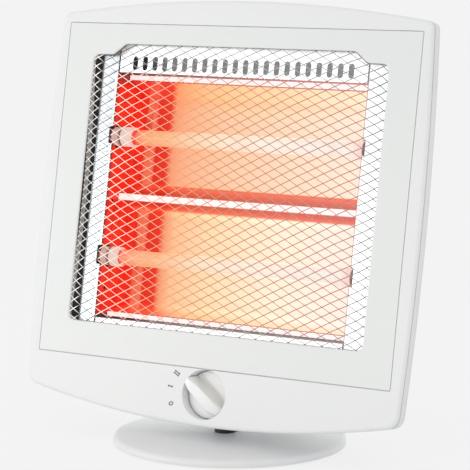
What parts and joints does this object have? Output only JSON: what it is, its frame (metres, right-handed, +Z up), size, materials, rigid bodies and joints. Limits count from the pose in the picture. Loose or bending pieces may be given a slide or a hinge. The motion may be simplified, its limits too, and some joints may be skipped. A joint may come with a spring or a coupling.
{
  "type": "quartz heater",
  "caption": "Free-standing quartz heater: a tilting square head with glowing tubes in a trough reflector behind a wire guard, a rotary knob and a round weighted base.",
  "frame": {"origin": "middle of the round base, on the floor under its feet", "axes": "+Z up, -Y the front that heats, +X to the right seen from the front"},
  "size_m": [0.3232, 0.176, 0.331],
  "materials": {
    "white_shell": "smooth white moulding, low sheen",
    "panel": "satin white enamel with a faint green cast",
    "knob": "smooth white moulding",
    "black_plastic": "matt black",
    "bright_wire": "bright plated wire",
    "polished_sheet": "mirror-polished sheet",
    "zinc_steel": "zinc-plated",
    "quartz": "milky quartz, glowing in use",
    "resistance_wire": "heated wire",
    "ceramic": "unglazed ceramic",
    "rubber": "matt",
    "insulation": "heat-resistant sleeve"
  },
  "bodies": {
    "base": {"base_shell": "white_shell", "weight_plate": "zinc_steel", "base_foot_1": "rubber", "base_foot_2": "rubber", "base_foot_3": "rubber", "base_foot_4": "rubber", "base_screw_1": "zinc_steel", "base_screw_2": "zinc_steel", "base_screw_3": "zinc_steel", "neck_post": "black_plastic", "neck_screw": "zinc_steel"},
    "head": {"front_frame": "white_shell", "rear_cover": "white_shell", "front_panel": "panel", "rotary_switch": "black_plastic", "tip_over_switch": "black_plastic", "thermal_cutout": "black_plastic", "cable_gland": "black_plastic", "mesh_guard": "bright_wire", "vent_strip": "polished_sheet", "bottom_strip": "polished_sheet", "reflector": "polished_sheet", "end_plate_right": "polished_sheet", "end_plate_left": "polished_sheet", "tube_clip_upper_right": "zinc_steel", "tube_clip_upper_left": "zinc_steel", "tube_clip_lower_right": "zinc_steel", "tube_clip_lower_left": "zinc_steel", "chassis_screw_upper_left": "zinc_steel", "chassis_screw_lower_left": "zinc_steel", "chassis_screw_upper_right": "zinc_steel", "chassis_screw_lower_right": "zinc_steel", "cover_screw_upper_left": "zinc_steel", "cover_screw_lower_left": "zinc_steel", "cover_screw_upper_right": "zinc_steel", "cover_screw_lower_right": "zinc_steel", "bracket_screw_left": "zinc_steel", "bracket_screw_right": "zinc_steel", "tilt_bracket": "zinc_steel", "tilt_pin": "zinc_steel", "tilt_nut": "zinc_steel", "quartz_tube_upper": "quartz", "quartz_tube_lower": "quartz", "heating_coil_upper": "resistance_wire", "heating_coil_lower": "resistance_wire", "tube_cap_upper_right": "ceramic", "tube_cap_upper_left": "ceramic", "tube_cap_lower_right": "ceramic", "tube_cap_lower_left": "ceramic", "tilt_washer_left": "rubber", "tilt_washer_right": "rubber", "terminal_block": "insulation", "lead_jumper": "insulation", "lead_upper": "insulation", "lead_lower": "insulation", "lead_supply": "insulation"},
    "knob": {"knob": "knob", "switch_shaft": "zinc_steel"}
  },
  "joints": [
    {"name": "head_tilt", "type": "hinge", "parent": "base", "child": "head", "pos_m": [0, -0.007, 0.0353], "axis": [1, 0, 0], "range_deg": [-15, 10]},
    {"name": "knob_turn", "type": "hinge", "parent": "head", "child": "knob", "pos_m": [0, -0.03878, 0.04279], "axis": [0, -0.9845, 0.1754], "range_deg": [0, 49]}
  ]
}
